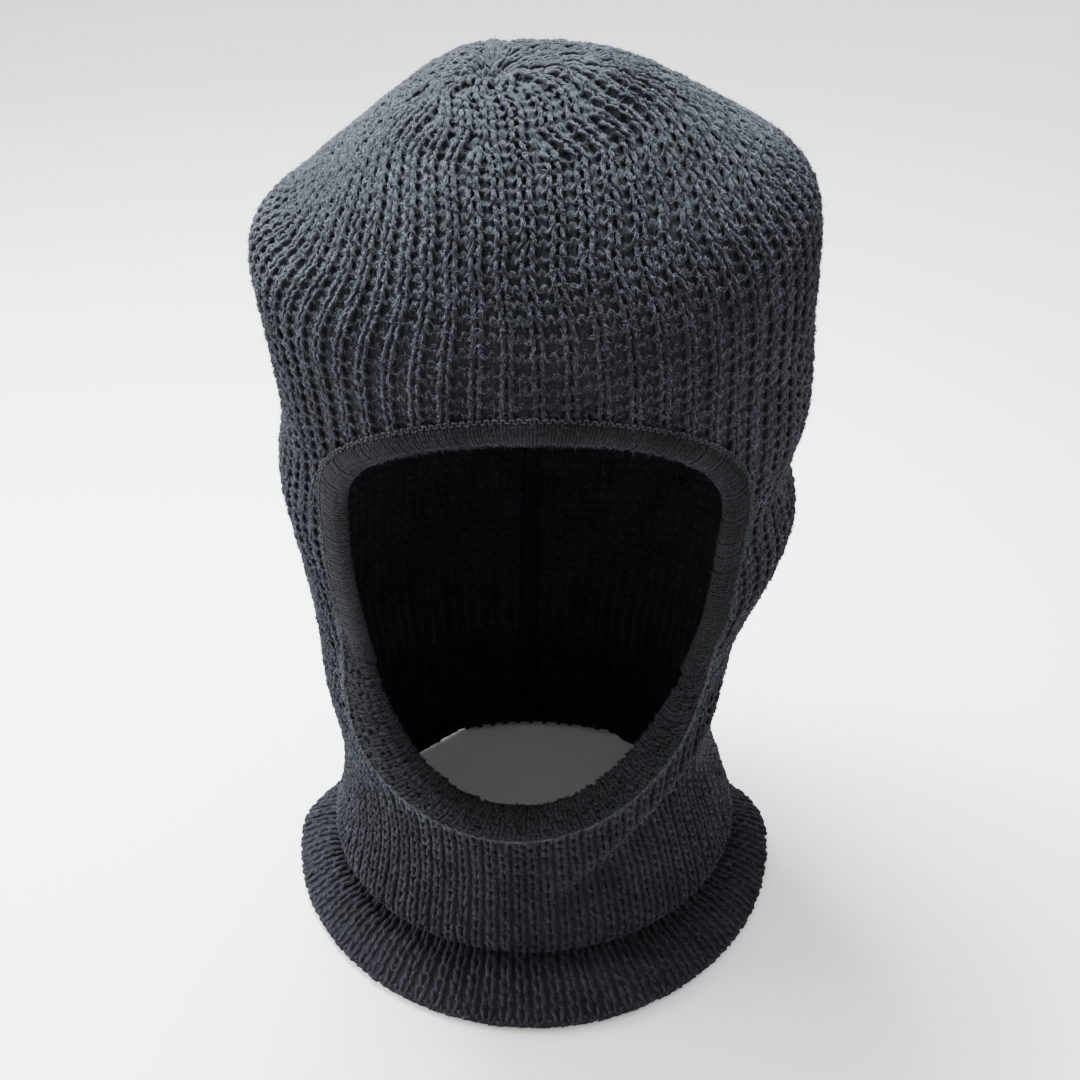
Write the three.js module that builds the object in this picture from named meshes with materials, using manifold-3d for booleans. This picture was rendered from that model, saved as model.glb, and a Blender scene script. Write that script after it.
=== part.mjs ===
// A knitted open-face balaclava, standing on its splayed hem as it does over a head and neck.
// Millimetres, +Z up, the face looks along -Y. The origin is the centre of the footprint, on the
// surface the hem rests on. The knit is one ribbed tube, gathered to a point at the crown. Here its
// crown, head, neck and hem zones are separate solids, and so are the bands and threads sewn to it.
import * as THREE from 'three';
import Module from 'manifold-3d';

const wasm = await Module();
wasm.setup();

// ---- driving dimensions -------------------------------------------------------------------------

const KNIT = 4; // thickness of the ribbed knit
const GAP = 0.3; // clearance between neighbouring solids
const STEPS_ROUND = 48; // facets round the body
const BEYOND = 400; // more than the whole part, for blocks that cut right through it

// How far the outside of the knit reaches from the axis, and how high it is there, from the gathered
// crown down to the rim of the hem: one outline for each side, all with the same stations.
const STATION = {
  apex: 0, gather: 1, crown: 2, roof: 3, ridge: 4, ear: 5, temple: 6, brow: 7, eye: 8,
  cheek: 9, jaw: 10, chin: 11, throat: 12, neck: 13, bulge: 14, crease: 15, flare: 16, rim: 17,
};
const OUTLINES = {
  right: outline([
    [0, 318], [9, 320], [36, 321], [62, 306.5], [83, 292], [89, 277], [90, 246], [91.5, 216], [86.5, 190],
    [90.5, 168], [78, 132], [73, 98], [70, 64], [76, 38], [80.5, 19], [76.5, 10], [84, 9], [94.5, 4],
  ]),
  left: outline([
    [0, 318], [8, 319], [29, 311.5], [52, 296], [74, 281], [87.5, 269], [85, 240], [82.5, 213], [85.5, 187],
    [81.5, 158], [77, 128], [75.5, 98], [70.5, 66], [72, 40], [77.5, 18], [73.5, 9.5], [84, 9], [94.5, 4],
  ]),
  front: outline([
    [0, 318], [9, 320], [30, 315], [56, 300], [75, 279], [84, 258], [88, 236], [88, 210], [86, 182],
    [84, 152], [82, 118], [76, 92], [68, 66], [68, 40], [74, 18], [70, 9.5], [84, 9], [98, 4],
  ]),
  back: outline([
    [0, 318], [9, 320], [32, 317], [62, 298], [84, 272], [93, 250], [98, 226], [98, 200], [94, 172],
    [84, 144], [73, 114], [65, 86], [61, 60], [61, 36], [66, 18], [62, 9.5], [69, 9], [76, 4],
  ]),
};
const APEX_SHIFT = -13; // the gathered point sits to one side of the axis
const SHOULDER = 88; // reach at which the sections are centred on the axis again
const BACK_TUCK = 0.15; // the hem splays this much less on its back corners

// The face opening, seen from the front: two half ovals that meet at the widest height.
const OPENING = { x: 0.7, z: 203, halfWidth: 59.3, up: 41.5, down: 114, chinShift: -6, roundness: 2.1 };
const BAND_WIDTH = 7; // overlocked band over the brow and down the cheeks
const BAND_PROUD = 0.6; // how far it stands out of the knit
const ROLL_WIDTH = 17; // turned-out lip under the chin
const ROLL_PROUD = 6;
const ROLL_TOP = 150; // height at which the band gives way to the lip
const ROLL_FULL = 110; // height below which the lip is at its thickest
const EDGE_WIDENS = 160; // height below which the edge widens from the band's width to the lip's
const THREAD = 0.55; // radius of a chain-stitched sewing thread
const THREAD_STOP = 0.03; // turn by which each thread stops short of the join of band and lip
const START_EDGE = 4.5; // width of the knit's tubular start edge at the rim
const SEAM_WIDTH = 6; // centre-back seam allowance, on the inside
const SEAM_DEPTH = 2.5;
const SEAM_SLOPE = 1; // how much narrower the allowance is at its free side, at each edge
const INSIDE_GAP = 0.65; // clearance of the seam allowance, which bridges the facets of the knit
const GATHER_RING = 7.2; // radius of the ring that the gathering yarn makes
const GATHER_YARN = 0.8; // radius of the yarn itself
const KNOT = 2.6; // radius of its knot

// ---- the outside surface of the knit ------------------------------------------------------------

function outline(points) {
  return new THREE.SplineCurve(points.map(([reach, height]) => new THREE.Vector2(reach, height)));
}

function onOutline(side, level) {
  return OUTLINES[side].getPoint(level / STATION.rim);
}

// A point on the outside of the knit: angle is 0 at the wearer's left ear (+X) and -90 degrees at
// the face, and level counts the stations down from the apex.
function surfacePoint(angle, level) {
  const c = Math.cos(angle);
  const s = Math.sin(angle);
  const side = onOutline(c >= 0 ? 'right' : 'left', level);
  const fore = onOutline(s >= 0 ? 'back' : 'front', level);
  const width = onOutline('right', level).x + onOutline('left', level).x;
  const drift = APEX_SHIFT * Math.max(0, 1 - width / (2 * SHOULDER));
  const splayed = THREE.MathUtils.smoothstep(level, STATION.crease, STATION.flare);
  const tuck = s > 0 ? 1 - BACK_TUCK * splayed * Math.sin(2 * angle) ** 2 : 1;
  const height = side.y * c * c + fore.y * s * s;
  return new THREE.Vector3(drift + side.x * c * tuck, fore.x * s * tuck, height);
}

function surfaceNormal(angle, level) {
  const step = 0.02;
  const offApex = 0.3;
  const safe = Math.max(level, offApex);
  const round = surfacePoint(angle + step, safe).sub(surfacePoint(angle - step, safe));
  const down = surfacePoint(angle, Math.min(safe + step, STATION.rim)).sub(surfacePoint(angle, safe - step));
  return down.cross(round).normalize();
}

// The surface moved out by some distance, or in if it is negative. The distance can depend on height.
function offsetPoint(angle, level, distance) {
  const at = surfacePoint(angle, level);
  const moved = typeof distance === 'function' ? distance(at.z) : distance;
  if (level === 0) return at.add(new THREE.Vector3(0, 0, moved));
  return at.addScaledVector(surfaceNormal(angle, level), moved);
}

// The angle and level at which the front of the surface has the given x and height.
function frontAt(x, height) {
  let angle = -Math.PI / 2;
  let level = STATION.eye;
  for (let round = 0; round < 20; round += 1) {
    level = bisect(STATION.gather, STATION.bulge, (v) => surfacePoint(angle, v).z > height);
    angle = bisect(-Math.PI, 0, (v) => surfacePoint(v, level).x < x);
  }
  return { angle, level };
}

function bisect(low, high, isBefore) {
  let [a, b] = [low, high];
  for (let i = 0; i < 24; i += 1) {
    const middle = (a + b) / 2;
    if (isBefore(middle)) a = middle;
    else b = middle;
  }
  return (a + b) / 2;
}

// ---- closed bodies from rings of points -----------------------------------------------------------

// Closes a strip of rings, each a closed loop of the same number of points, into one body. The rings
// go once round the body's own section, so the last one joins the first. A ring of one point is a pole.
function bodyFromRings(rings, joinEnds) {
  const positions = [];
  const starts = rings.map((ring) => {
    const start = positions.length / 3;
    ring.forEach((p) => positions.push(p.x, p.y, p.z));
    return start;
  });
  const faces = [];
  const count = joinEnds ? rings.length : rings.length - 1;
  for (let i = 0; i < count; i += 1) {
    const j = (i + 1) % rings.length;
    const size = Math.max(rings[i].length, rings[j].length);
    for (let k = 0; k < size; k += 1) {
      const next = (k + 1) % size;
      const a = starts[i] + (rings[i].length > 1 ? k : 0);
      const b = starts[i] + (rings[i].length > 1 ? next : 0);
      const c = starts[j] + (rings[j].length > 1 ? next : 0);
      const d = starts[j] + (rings[j].length > 1 ? k : 0);
      if (rings[i].length > 1) faces.push(a, b, c);
      if (rings[j].length > 1) faces.push(a, c, d);
    }
  }
  const geometry = new THREE.BufferGeometry();
  geometry.setAttribute('position', new THREE.Float32BufferAttribute(positions, 3));
  geometry.setIndex(faces);
  return facingOut(geometry);
}

// Turns a closed geometry's faces over if they point in.
function facingOut(geometry) {
  const p = geometry.attributes.position;
  const index = geometry.index.array;
  const corner = (i) => new THREE.Vector3().fromBufferAttribute(p, index[i]);
  let volume = 0;
  for (let i = 0; i < index.length; i += 3) {
    volume += corner(i).dot(corner(i + 1).cross(corner(i + 2)));
  }
  if (volume < 0) {
    for (let i = 0; i < index.length; i += 3) [index[i], index[i + 1]] = [index[i + 1], index[i]];
  }
  return geometry;
}

function ringAt(level, distance) {
  if (level === 0) return [offsetPoint(0, 0, distance)];
  const ring = [];
  for (let k = 0; k < STEPS_ROUND; k += 1) {
    ring.push(offsetPoint((2 * Math.PI * k) / STEPS_ROUND, level, distance));
  }
  return ring;
}

function levelsBetween(first, last, step) {
  const count = Math.ceil((last - first) / step);
  return Array.from({ length: count + 1 }, (_, i) => first + ((last - first) * i) / count);
}

// A length of knitted tube between two levels, from outside to inside distance. It is closed at the
// crown when it starts at the apex.
function knitTube(levels, outside, inside) {
  const outer = levels.map((level) => ringAt(level, outside));
  const inner = levels.map((level) => ringAt(level, inside)).reverse();
  return bodyFromRings([...outer, ...inner], levels[0] !== 0);
}

// ---- cutting and joining ------------------------------------------------------------------------

function toSolid(geometry) {
  return new wasm.Manifold(new wasm.Mesh({
    numProp: 3,
    vertProperties: new Float32Array(geometry.attributes.position.array),
    triVerts: new Uint32Array(geometry.index.array),
  }));
}

function toGeometry(solid) {
  const mesh = solid.getMesh();
  const geometry = new THREE.BufferGeometry();
  geometry.setAttribute('position', new THREE.BufferAttribute(new Float32Array(mesh.vertProperties), 3));
  geometry.setIndex(new THREE.BufferAttribute(new Uint32Array(mesh.triVerts), 1));
  return geometry;
}

// ---- the face opening ---------------------------------------------------------------------------

// The width of the finished edge at a height: the band's, widening to the lip's under the chin.
function edgeWidth(height) {
  const low = 1 - THREE.MathUtils.smoothstep(height, OPENING.z - OPENING.down, EDGE_WIDENS);
  return BAND_WIDTH + (ROLL_WIDTH - BAND_WIDTH) * low;
}

// A point of the opening's edge, or of a line some share of the edge's width outside it, plus a margin.
function openingPoint(turn, share, margin) {
  const c = Math.cos(turn);
  const s = Math.sin(turn);
  const n = OPENING.roundness;
  const reach = (Math.abs(c) ** n + Math.abs(s) ** n) ** (-1 / n);
  const tall = s > 0 ? OPENING.up : OPENING.down;
  const edge = edgeWidth(OPENING.z + tall * reach * s);
  const grow = share * edge + margin;
  const x = OPENING.x + (OPENING.halfWidth + grow) * reach * c;
  const z = OPENING.z + (tall + grow) * reach * s;
  const sunk = Math.max(0, OPENING.z - z) / OPENING.down;
  return new THREE.Vector2(x + OPENING.chinShift * sunk ** 1.5, z);
}

// A block through the front of the hood with the opening's outline, so that it can cut or be cut.
function openingBlock(share, margin) {
  const points = [];
  const steps = 56;
  for (let i = 0; i < steps; i += 1) points.push(openingPoint((2 * Math.PI * i) / steps, share, margin));
  const depth = 115; // enough to reach past the face
  const inFront = 10; // of the axis, so that the back of the hood is left alone
  const geometry = new THREE.ExtrudeGeometry(new THREE.Shape(points), { depth, bevelEnabled: false });
  geometry.rotateX(Math.PI / 2);
  geometry.translate(0, -inFront, 0);
  return toSolid(merged(geometry));
}

// The same geometry with its shared corners joined.
function merged(geometry) {
  const p = geometry.attributes.position;
  const seen = new Map();
  const positions = [];
  const index = [];
  for (let i = 0; i < p.count; i += 1) {
    const key = [p.getX(i), p.getY(i), p.getZ(i)].map((v) => Math.round(v * 1e4)).join();
    if (!seen.has(key)) {
      seen.set(key, positions.length / 3);
      positions.push(p.getX(i), p.getY(i), p.getZ(i));
    }
    index.push(seen.get(key));
  }
  const corners = geometry.index ? Array.from(geometry.index.array, (i) => index[i]) : index;
  const joined = new THREE.BufferGeometry();
  joined.setAttribute('position', new THREE.Float32BufferAttribute(positions, 3));
  joined.setIndex(corners);
  return joined;
}

// Everything between two heights.
function slab(low, high) {
  const geometry = new THREE.BoxGeometry(BEYOND, BEYOND, high - low);
  geometry.translate(0, 0, (low + high) / 2);
  return toSolid(merged(geometry));
}

// ---- the pieces ---------------------------------------------------------------------------------

// The share of a level that keeps two zones of the tube the usual clearance apart.
const ZONE_GAP = 0.02;

function crownKnit() {
  return knitTube([0, 0.6, ...levelsBetween(STATION.gather, STATION.ear - ZONE_GAP, 0.45)], 0, -KNIT);
}

function hoodKnit() {
  const shell = toSolid(knitTube(levelsBetween(STATION.ear, STATION.throat - ZONE_GAP, 0.55), 0, -KNIT));
  return toGeometry(shell.subtract(openingBlock(1, GAP)));
}

function neckRib() {
  return knitTube(levelsBetween(STATION.throat, STATION.crease - 0.12, 0.4), 0, -KNIT);
}

// One ring of the hem: a share of the way from the crease to the rim, at a height.
function hemRing(share, height, shrink = 0) {
  const ring = [];
  for (let k = 0; k < STEPS_ROUND; k += 1) {
    const angle = (2 * Math.PI * k) / STEPS_ROUND;
    const crease = surfacePoint(angle, STATION.crease);
    const rim = surfacePoint(angle, STATION.rim);
    const p = crease.lerp(rim, share);
    const flat = Math.hypot(p.x, p.y);
    ring.push(new THREE.Vector3(p.x * (1 - shrink / flat), p.y * (1 - shrink / flat), height));
  }
  return ring;
}

function hemFlare() {
  const edge = START_EDGE + GAP;
  return bodyFromRings([
    hemRing(-0.1, 8.6), hemRing(0.25, 9), hemRing(0.55, 8.4), hemRing(0.8, 6.8, 1.5), hemRing(1, 5.3, edge),
    hemRing(1, 0, edge), hemRing(0.45, 0), hemRing(0.1, 3.6), hemRing(-0.1, 4.2),
  ], true);
}

function hemStartEdge() {
  return bodyFromRings([
    hemRing(1, 5, START_EDGE), hemRing(1, 4.6, 1.4), hemRing(1, 3.4, 0.3), hemRing(1, 2, 0),
    hemRing(1, 0.7, 0.4), hemRing(1, 0, 1.4), hemRing(1, 0, START_EDGE),
  ], true);
}

const EDGE_LEVELS = levelsBetween(STATION.ear, STATION.throat + 0.4, 0.5);

// A ring of knit round the opening, from outside to inside distance.
function edgeRing(outside, inside) {
  const shell = toSolid(knitTube(EDGE_LEVELS, outside, inside));
  return shell.intersect(openingBlock(1, 0)).subtract(openingBlock(0, 0));
}

function faceBand() {
  return toGeometry(edgeRing(BAND_PROUD, -KNIT - BAND_PROUD).intersect(slab(ROLL_TOP + GAP, BEYOND)));
}

// The turned-out lip stands proud under the chin and thins towards the band.
function rollProud(height) {
  const high = THREE.MathUtils.smoothstep(height, ROLL_FULL, ROLL_TOP);
  return ROLL_PROUD + (BAND_PROUD - ROLL_PROUD) * high;
}

function chinRoll() {
  return toGeometry(edgeRing(rollProud, -KNIT).intersect(slab(0, ROLL_TOP)));
}

// A round thread along points, closed at both ends.
function thread(points, radius, steps, closed = false) {
  const route = new THREE.CatmullRomCurve3(points, closed);
  const section = new THREE.Shape();
  section.absarc(0, 0, radius, 0, 2 * Math.PI);
  const shape = new THREE.Shape(section.getPoints(3).slice(0, -1));
  return merged(new THREE.ExtrudeGeometry(shape, { steps, bevelEnabled: false, extrudePath: route }));
}

// The route of a thread along the outside of the opening's finished edge.
function edgeRoute(fromTurn, toTurn, margin, proud) {
  const points = [];
  const steps = 40;
  for (let i = 0; i <= steps; i += 1) {
    const at = openingPoint(fromTurn + ((toTurn - fromTurn) * i) / steps, 1, margin);
    const { angle, level } = frontAt(at.x, at.y);
    points.push(offsetPoint(angle, level, proud));
  }
  return points;
}

// The turn at which the opening's edge passes the height where the band meets the lip.
function turnAtHeight(height, rightSide) {
  const low = rightSide ? -Math.PI / 2 : (3 * Math.PI) / 2;
  const high = rightSide ? 0 : Math.PI;
  return bisect(low, high, (turn) => openingPoint(turn, 1, 0).y < height);
}

const SPLIT_RIGHT = turnAtHeight(ROLL_TOP, true);
const SPLIT_LEFT = turnAtHeight(ROLL_TOP, false);

function faceBandStitching() {
  const proud = BAND_PROUD + THREAD + GAP;
  return thread(edgeRoute(SPLIT_RIGHT + THREAD_STOP, SPLIT_LEFT - THREAD_STOP, 0, proud), THREAD, 70);
}

function chinRollStitching() {
  const proud = THREAD + GAP + 0.4;
  const below = 1.6; // the lip's border, so that the thread lies on the knit
  const last = SPLIT_LEFT - 2 * Math.PI + THREAD_STOP;
  return thread(edgeRoute(SPLIT_RIGHT - THREAD_STOP, last, below, proud), THREAD, 50);
}

function meanOf(points) {
  return points.reduce((sum, p) => sum.add(p), new THREE.Vector3()).divideScalar(points.length);
}

// A ring under the gathering, as high as the inside of the crown allows all the way round.
function crownGatherYarn() {
  const points = [];
  const count = 12;
  const below = -KNIT - GATHER_YARN - 2 * GAP;
  for (let k = 0; k < count; k += 1) {
    points.push(offsetPoint((2 * Math.PI * k) / count, STATION.gather, below));
  }
  const ring = new THREE.TorusGeometry(GATHER_RING, GATHER_YARN, 8, 24);
  const middle = meanOf(points);
  ring.translate(middle.x, middle.y, Math.min(...points.map((p) => p.z)) - GAP);
  return merged(ring);
}

function crownKnot() {
  const knot = new THREE.IcosahedronGeometry(KNOT, 1);
  const apex = surfacePoint(0, 0);
  knot.translate(apex.x, apex.y, apex.z - KNIT - KNOT - 2 * GAP);
  return merged(knot);
}

// A strip of seam allowance standing on the inside of the centre back.
function backSeam(first, last) {
  const levels = levelsBetween(first, last, 0.4);
  const rings = levels.map((level) => {
    const half = SEAM_WIDTH / 2;
    const middle = surfacePoint(Math.PI / 2, level);
    const inward = surfaceNormal(Math.PI / 2, level).negate();
    const corner = (across, depth) => new THREE.Vector3(across, 0, 0)
      .add(middle).addScaledVector(inward, depth);
    const near = KNIT + INSIDE_GAP;
    const far = near + SEAM_DEPTH;
    const top = half - SEAM_SLOPE;
    return [corner(-half, near), corner(half, near), corner(top, far), corner(-top, far)];
  });
  return bodyFromRings([[meanOf(rings[0])], ...rings, [meanOf(rings[rings.length - 1])]], false);
}

// ---- the assembly -------------------------------------------------------------------------------

function material(color, roughness) {
  return new THREE.MeshStandardMaterial({ color, roughness, metalness: 0 });
}

const group = new THREE.Group();

function add(name, geometry, finish) {
  geometry.computeVertexNormals();
  const mesh = new THREE.Mesh(geometry, finish);
  mesh.name = name;
  group.add(mesh);
}

add('crown_knit', crownKnit(), material(0x3f4447, 0.95));
add('hood_knit', hoodKnit(), material(0x3b4043, 0.95));
add('neck_rib', neckRib(), material(0x2b2f32, 0.95));
add('hem_flare', hemFlare(), material(0x2a2d31, 0.95));
add('hem_start_edge', hemStartEdge(), material(0x26292c, 0.95));
add('face_band', faceBand(), material(0x24272a, 0.9));
add('face_band_stitching', faceBandStitching(), material(0x3d4245, 0.8));
add('chin_roll', chinRoll(), material(0x25282b, 0.95));
add('chin_roll_stitching', chinRollStitching(), material(0x4a4f52, 0.8));
add('crown_gather_yarn', crownGatherYarn(), material(0x1f2224, 0.9));
add('crown_knot', crownKnot(), material(0x1f2224, 0.9));
add('back_seam_hood', backSeam(STATION.crown - 0.4, STATION.throat - ZONE_GAP), material(0x26292c, 0.9));
add('back_seam_neck', backSeam(STATION.throat, STATION.bulge), material(0x26292c, 0.9));

// Puts the origin at the centre of the whole footprint, on the surface it rests on.
const bounds = new THREE.Box3().setFromObject(group);
const centre = bounds.getCenter(new THREE.Vector3());
group.children.forEach((mesh) => mesh.geometry.translate(-centre.x, -centre.y, -bounds.min.z));

export default group;
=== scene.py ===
import math

import bpy
import numpy as np
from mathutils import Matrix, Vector


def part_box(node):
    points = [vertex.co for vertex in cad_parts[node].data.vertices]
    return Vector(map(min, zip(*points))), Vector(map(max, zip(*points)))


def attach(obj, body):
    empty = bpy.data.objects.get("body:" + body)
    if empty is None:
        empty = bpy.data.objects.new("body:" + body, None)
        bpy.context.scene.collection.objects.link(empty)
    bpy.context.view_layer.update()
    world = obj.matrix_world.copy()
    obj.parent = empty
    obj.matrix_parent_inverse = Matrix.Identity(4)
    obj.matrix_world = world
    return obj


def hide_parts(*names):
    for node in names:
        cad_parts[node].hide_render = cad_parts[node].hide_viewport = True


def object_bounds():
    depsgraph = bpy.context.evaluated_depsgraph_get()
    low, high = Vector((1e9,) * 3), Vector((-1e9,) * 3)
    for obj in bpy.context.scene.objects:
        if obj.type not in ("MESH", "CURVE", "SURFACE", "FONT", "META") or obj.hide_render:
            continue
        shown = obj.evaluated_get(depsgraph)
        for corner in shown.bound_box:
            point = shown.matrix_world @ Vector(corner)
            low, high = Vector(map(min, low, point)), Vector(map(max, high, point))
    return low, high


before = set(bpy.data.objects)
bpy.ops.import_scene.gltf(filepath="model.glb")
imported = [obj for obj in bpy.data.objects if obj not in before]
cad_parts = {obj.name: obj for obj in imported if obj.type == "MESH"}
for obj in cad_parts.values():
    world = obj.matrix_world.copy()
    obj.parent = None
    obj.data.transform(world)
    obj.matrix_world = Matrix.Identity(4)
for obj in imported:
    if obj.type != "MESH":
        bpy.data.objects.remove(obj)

# ---- sizes, from the frame's box ----

CAD_LOW, CAD_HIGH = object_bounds()
DRAWN_HEIGHT = 321.5  # the outlines below are drawn for this height
DRAWN_HALF_WIDTH = 94.5
DRAWN_FRONT = 98.0
METRES = (CAD_HIGH.z - CAD_LOW.z) / DRAWN_HEIGHT  # metres for each drawn millimetre
SHIFT = np.array([
    CAD_LOW.x + DRAWN_HALF_WIDTH * METRES,
    CAD_LOW.y + DRAWN_FRONT * METRES,
    CAD_LOW.z,
])

# How far the outside of the knit reaches from the axis and how high it is there, at each station
# from the gathered crown to the rim of the hem.
STATIONS = ("apex", "gather", "crown", "roof", "ridge", "ear", "temple", "brow", "eye", "cheek",
            "jaw", "chin", "throat", "neck", "bulge", "crease", "flare", "rim", "under")
AT = {name: float(i) for i, name in enumerate(STATIONS)}
OUTLINES = {
    "right": ((0, 318), (9, 320), (36, 321), (62, 306.5), (83, 292), (89, 277), (90, 246), (91.5, 216),
              (86.5, 190), (90.5, 168), (78, 132), (73, 98), (70, 64), (76, 38), (80.5, 19), (76.5, 10),
              (84, 9), (94.5, 4), (92.5, 0.3)),
    "left": ((0, 318), (8, 319), (29, 311.5), (52, 296), (74, 281), (87.5, 269), (85, 240), (82.5, 213),
             (85.5, 187), (81.5, 158), (77, 128), (75.5, 98), (70.5, 66), (72, 40), (77.5, 18), (73.5, 9.5),
             (84, 9), (94.5, 4), (92.5, 0.3)),
    "front": ((0, 318), (9, 320), (30, 315), (56, 300), (75, 279), (84, 258), (88, 236), (88, 210),
              (86, 182), (84, 152), (82, 118), (76, 92), (68, 66), (68, 40), (74, 18), (70, 9.5),
              (84, 9), (98, 4), (96, 0.3)),
    "back": ((0, 318), (9, 320), (32, 317), (62, 298), (84, 272), (93, 250), (98, 226), (98, 200),
             (94, 172), (84, 144), (73, 114), (65, 86), (61, 60), (61, 36), (66, 18), (62, 9.5),
             (69, 9), (76, 4), (74, 0.3)),
}
APEX_SHIFT = -13.0  # the gathered point sits to one side of the axis
SHOULDER = 88.0  # reach at which the sections are centred on the axis again
BACK_TUCK = 0.15  # the hem splays this much less on its back corners

# The face opening, seen from the front: two half ovals that meet at the widest height.
OPEN_X, OPEN_Z = 0.7, 203.0
OPEN_HALF, OPEN_UP, OPEN_DOWN = 59.3, 41.5, 114.0
OPEN_ROUND = 2.1  # 2 would make ellipses, and more makes them squarer
CHIN_SHIFT, CHIN_CURVE = -6.0, 1.5  # how far its foot lies to one side, and how late that sets in
ROLL_TOP = 150.0  # height at which the band gives way to the turned-out lip
ROLL_FULL = 110.0  # height below which the lip has its full width

# The slanting fold on the wearer's left of the neck, from near the middle of the front upwards.
FOLD_FROM, FOLD_TO = math.radians(6), math.radians(62)  # round from the middle of the front
FOLD_LOW, FOLD_HIGH = 13.05, 11.2  # its levels at those two ends
FOLD_OUT, FOLD_IN = 3.2, 2.8  # how far it stands out, and how deep the valley below it is
FOLD_SPAN = 0.2  # its half width, in levels
FOLD_APART = 1.1  # half the way from its ridge to its valley, in spans
FOLD_RISES, FOLD_DIES = (-0.2, 0.25), (1.25, 0.85)  # shares of its length over which it comes and goes

# The knit.
RIBS = 84
COURSE = 4.25  # height of one course
GATHER_RADIUS = 3.2  # the first course is drawn up to this radius
RIM_TURN = 0.35  # the last course lies this many levels past the rim
START_ROWS = np.array([0.35, 0.7])  # close rows past the last course, in courses, that bind the rim
MIDDLE = 1.8  # depth of the knit's middle below its outside
DIMPLE = 3.5  # how deep the gathered point is drawn in
DIMPLE_RADII = (1, 11)  # and the radii over which that fades
# Values by station, which run straight between the stations named: the width of a knit wale, how far
# it stands in front of a purl wale where the knit is stretched, the share of the ribs' relief that is
# left in the hem, and the depth of the ground's two faces below the middle.
KNIT_WALE = {"roof": 3.8, "ear": 3.3, "jaw": 3.1, "throat": 4.3, "neck": 4.4, "crease": 4.6, "rim": 5.6}
RIDGE = {"roof": 0.8, "temple": 0.65, "jaw": 0.6}
RELIEF = {"crease": 1.0, "flare": 0.6, "rim": 0.4}
GROUND_OUTSIDE = {"crown": 0.6, "ear": -0.05, "jaw": -0.1, "throat": -0.4, "neck": -0.7, "flare": -0.6}
GROUND_INSIDE = {"jaw": 1.1, "throat": 1.6, "neck": 1.8}
GROUND_STEPS = 168, 130  # round the knit and down it
GROUND_FROM, GROUND_SHORT = 0.75, 0.05  # level at which it begins, and how far before the rim it ends

# How ribs are shared out round the knit.
FRONT_STRETCH = 0.25  # ribs are this much wider than average over the brow
SIDE_DRAW = 0.06  # and by twice this, wider over the brow and back and narrower over the ears
NECK_DRAW = 0.05  # and this much narrower than average in front of the neck
CROWN_RADIUS = 76.0  # radius inside which ribs begin to be drawn under their neighbours
DYING_SPAN = 7  # a rib goes under over twice this much radius
LASTING_RADIUS = 8  # a rib that would go under inside this radius runs on to the gathering instead
FRONT_LASTS = 0.45  # how far the going under begins with the back and sides
GOLDEN = 0.618034  # steps of this share of a whole spread any run of ribs evenly
NARROWEST = 0.03  # a rib under this share of an even width is left out of a course
UNDER = 3.0  # how deep below the others a rib runs that has gone under

# The yarn and its loops.
HOOD_RADIUS = 0.77  # of the yarn where the knit is stretched
NECK_RADIUS = 1.05  # and where it is relaxed
PLY_LOBE = 0.16  # how far the yarn's two plies bulge from round
PLY_TWIST = 9.0  # length of yarn in which the plies turn once
SAMPLES = 24  # points along the yarn in one rib
SIDES = 6
LOOP_HALF = 3.0  # half the height of a loop, which overlaps the courses above and below it
START_HALF = 1.3  # half the height of the loops at the rim
LOOP_SWING, NECK_SWING = 0.14, 0.4  # how far a loop's legs open into a V, stretched and relaxed
CROSSING = 0.17  # share of a wale over which the yarn passes between front and back
KNIT_HEAD, PURL_HEAD = (0.1, 0.8), (-0.5, 0.3)  # heights in a loop between which its head begins
KNIT_SHARE = 0.36, 0.85  # the least and most of a rib that its knit wale takes
CLOSING = 0.6, 0.84  # knit shares between which the wales close up, as in the relaxed neck
CLOSED_RIDGE = 0.35  # how much further knit wales stand out where they are closed
CURL, CURL_LOST = 0.5, 0.15  # how far a loop's legs stand off its head, and how much less when closed
BETWEEN_WALES = 0.85  # how much deeper the yarn runs between closed wales
WALE_SIDE = 0.9  # height over which it comes up out of there
DEEPEST = -1.6  # the lowest that the yarn runs below the knit's middle
WOBBLE = 0.16  # how far the yarn strays from its even path
UNEVEN_LOOP = 0.05  # how far loops differ in height and place, as a share of their height
UNEVEN_LIFT = 0.06  # and how far they stand in front of or behind each other

# How finely the surface is worked out.
TOP = 0.4  # the highest level used, just off the apex
FINE_STEPS = 3601
LEVEL_STEPS, ROUND_STEPS = 900, 24
ROUNDS, HALVINGS = 8, 18  # of the search for a point on the front
EDGE_HALVINGS = 30  # of the search for a height on the opening's edge

RNG = np.random.default_rng(7)


# ---- the surface ----

def spline(points, t):
    """A smooth curve through the points, at t counted in points."""
    p = np.asarray(points, float)
    last = len(p) - 1
    i = np.clip(np.floor(t).astype(int), 0, last - 1)
    f = (t - i)[:, None]
    p0, p1, p2, p3 = (p[np.clip(i + k, 0, last)] for k in (-1, 0, 1, 2))
    straight = 2 * p1 + (p2 - p0) * f
    bent = (2 * p0 - 5 * p1 + 4 * p2 - p3) * f**2 + (3 * p1 - p0 - 3 * p2 + p3) * f**3
    return 0.5 * (straight + bent)


def smooth(x, low, high):
    """Eases from 0 at low to 1 at high."""
    f = np.clip((x - low) / (high - low), 0, 1)
    return f * f * (3 - 2 * f)


def unit(v):
    return v / np.maximum(np.linalg.norm(v, axis=-1, keepdims=True), 1e-9)


FINE = np.linspace(0, AT["under"], FINE_STEPS)
FINE_OUTLINES = {side: spline(points, FINE) for side, points in OUTLINES.items()}


def outline(side, level):
    """Reach from the axis and height of one outline."""
    fine = FINE_OUTLINES[side]
    return np.interp(level, FINE, fine[:, 0]), np.interp(level, FINE, fine[:, 1])


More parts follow.
